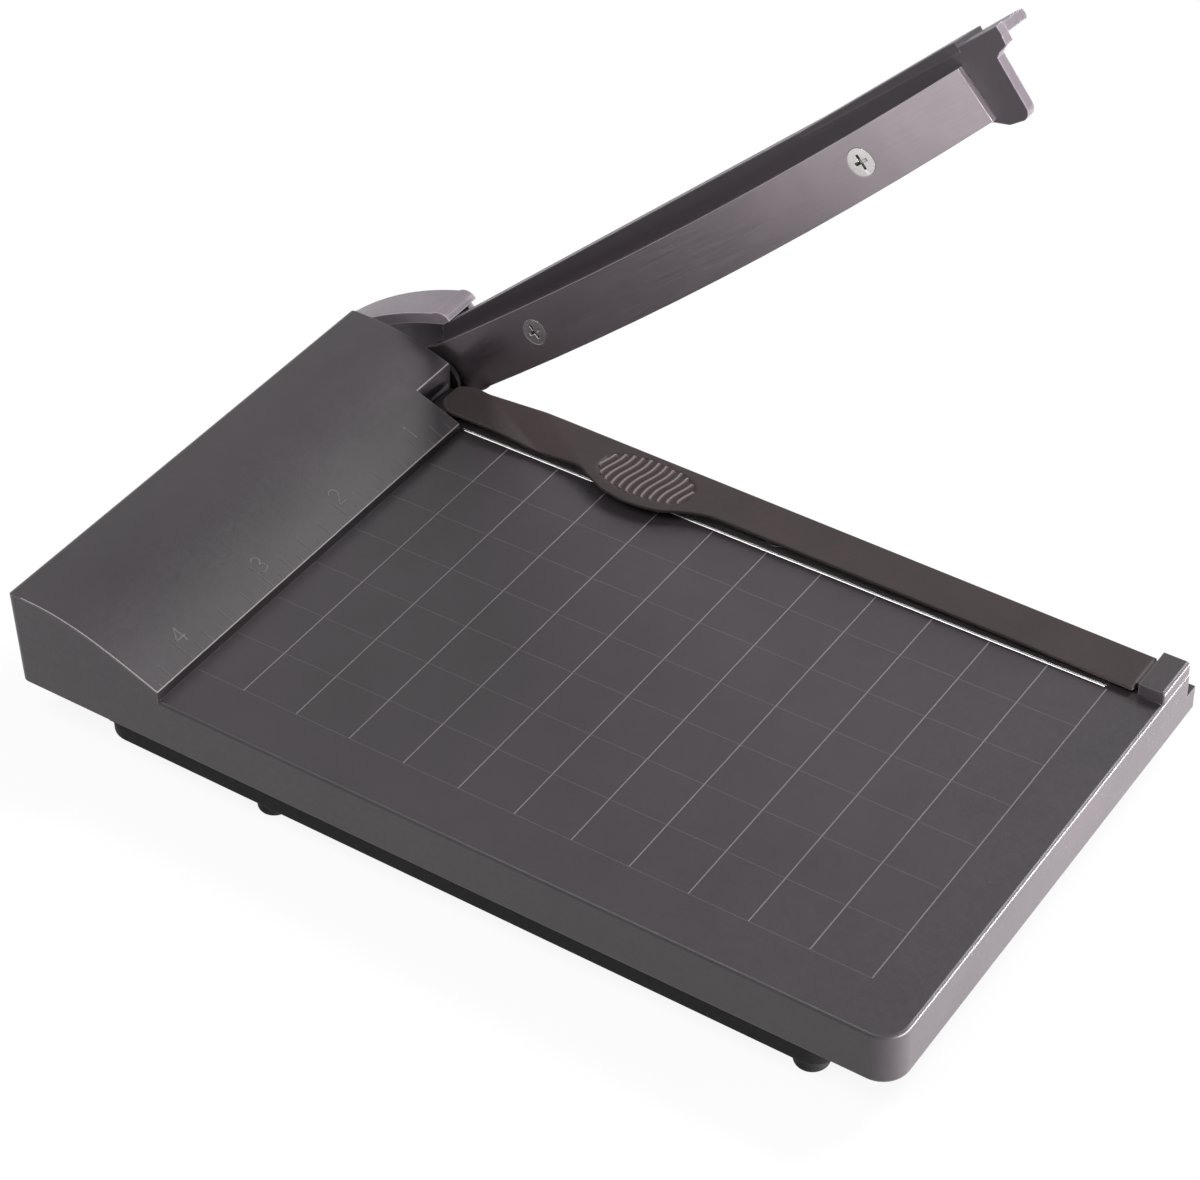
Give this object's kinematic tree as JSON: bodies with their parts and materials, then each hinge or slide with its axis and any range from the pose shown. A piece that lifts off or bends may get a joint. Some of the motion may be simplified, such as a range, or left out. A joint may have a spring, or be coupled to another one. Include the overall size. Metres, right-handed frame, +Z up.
{
  "type": "business card cutter",
  "caption": "Small desk trimmer for business cards: a bladed lever hinged beside a ruler block, a sprung clamp bar along the cut and a gridded table on rubber feet.",
  "frame": {"origin": "on the desk under the feet, below the middle of the box round the whole cutter with its lever fully open", "axes": "+Z up; +Y along the cut from the lever's free end to its hinge and the ruler block; +X across the cut, from the table to the lever's side"},
  "size_m": [0.1292, 0.2104, 0.1465],
  "materials": {
    "housing": "fine moulded texture, warm dark grey",
    "cover": "fine moulded texture, black",
    "feet": "soft matte black",
    "lever": "fine moulded texture, dark grey",
    "hub_shell": "satin, mid grey",
    "clamp": "satin, warm dark grey",
    "blade_steel": "ground along the blade",
    "screw_steel": "bright zinc plate",
    "spring_steel": "drawn wire and pressed strip",
    "washer_steel": "dull zinc plate",
    "brass": "turned"
  },
  "bodies": {
    "base": {"top_housing": "housing", "bottom_cover": "cover", "cover_screws": "screw_steel", "rubber_feet": "feet", "fixed_blade": "blade_steel", "fixed_blade_screws": "screw_steel", "fixed_blade_nuts": "screw_steel", "pivot_bracket": "washer_steel", "bracket_screws": "screw_steel", "pivot_bolt": "screw_steel", "pivot_spacer": "washer_steel", "pivot_disc_spring": "spring_steel", "pivot_washer": "washer_steel", "pivot_nut": "screw_steel", "clamp_pin": "screw_steel", "clamp_spring": "spring_steel"},
    "lever": {"lever_arm": "lever", "moving_blade": "blade_steel", "blade_screws": "screw_steel", "blade_nuts": "screw_steel", "pivot_bush": "brass", "hub_cover": "hub_shell", "hub_cover_screws": "screw_steel"},
    "clamp": {"clamp_bar": "clamp", "clamp_stop_screw": "screw_steel", "clamp_stop_washer": "washer_steel"}
  },
  "joints": [
    {"name": "lever_hinge", "type": "hinge", "parent": "base", "child": "lever", "pos_m": [0.05, 0.0714, 0.0218], "axis": [1, 0, 0], "range_deg": [0, 41.4]},
    {"name": "clamp_hinge", "type": "hinge", "parent": "base", "child": "clamp", "pos_m": [0.0424, -0.1016, 0.0206], "axis": [-1, 0, 0], "range_deg": [0, 0.4], "stiffness_Nm_per_rad": 10.6, "springref_deg": -0.53, "deforming": ["clamp_spring"]}
  ]
}
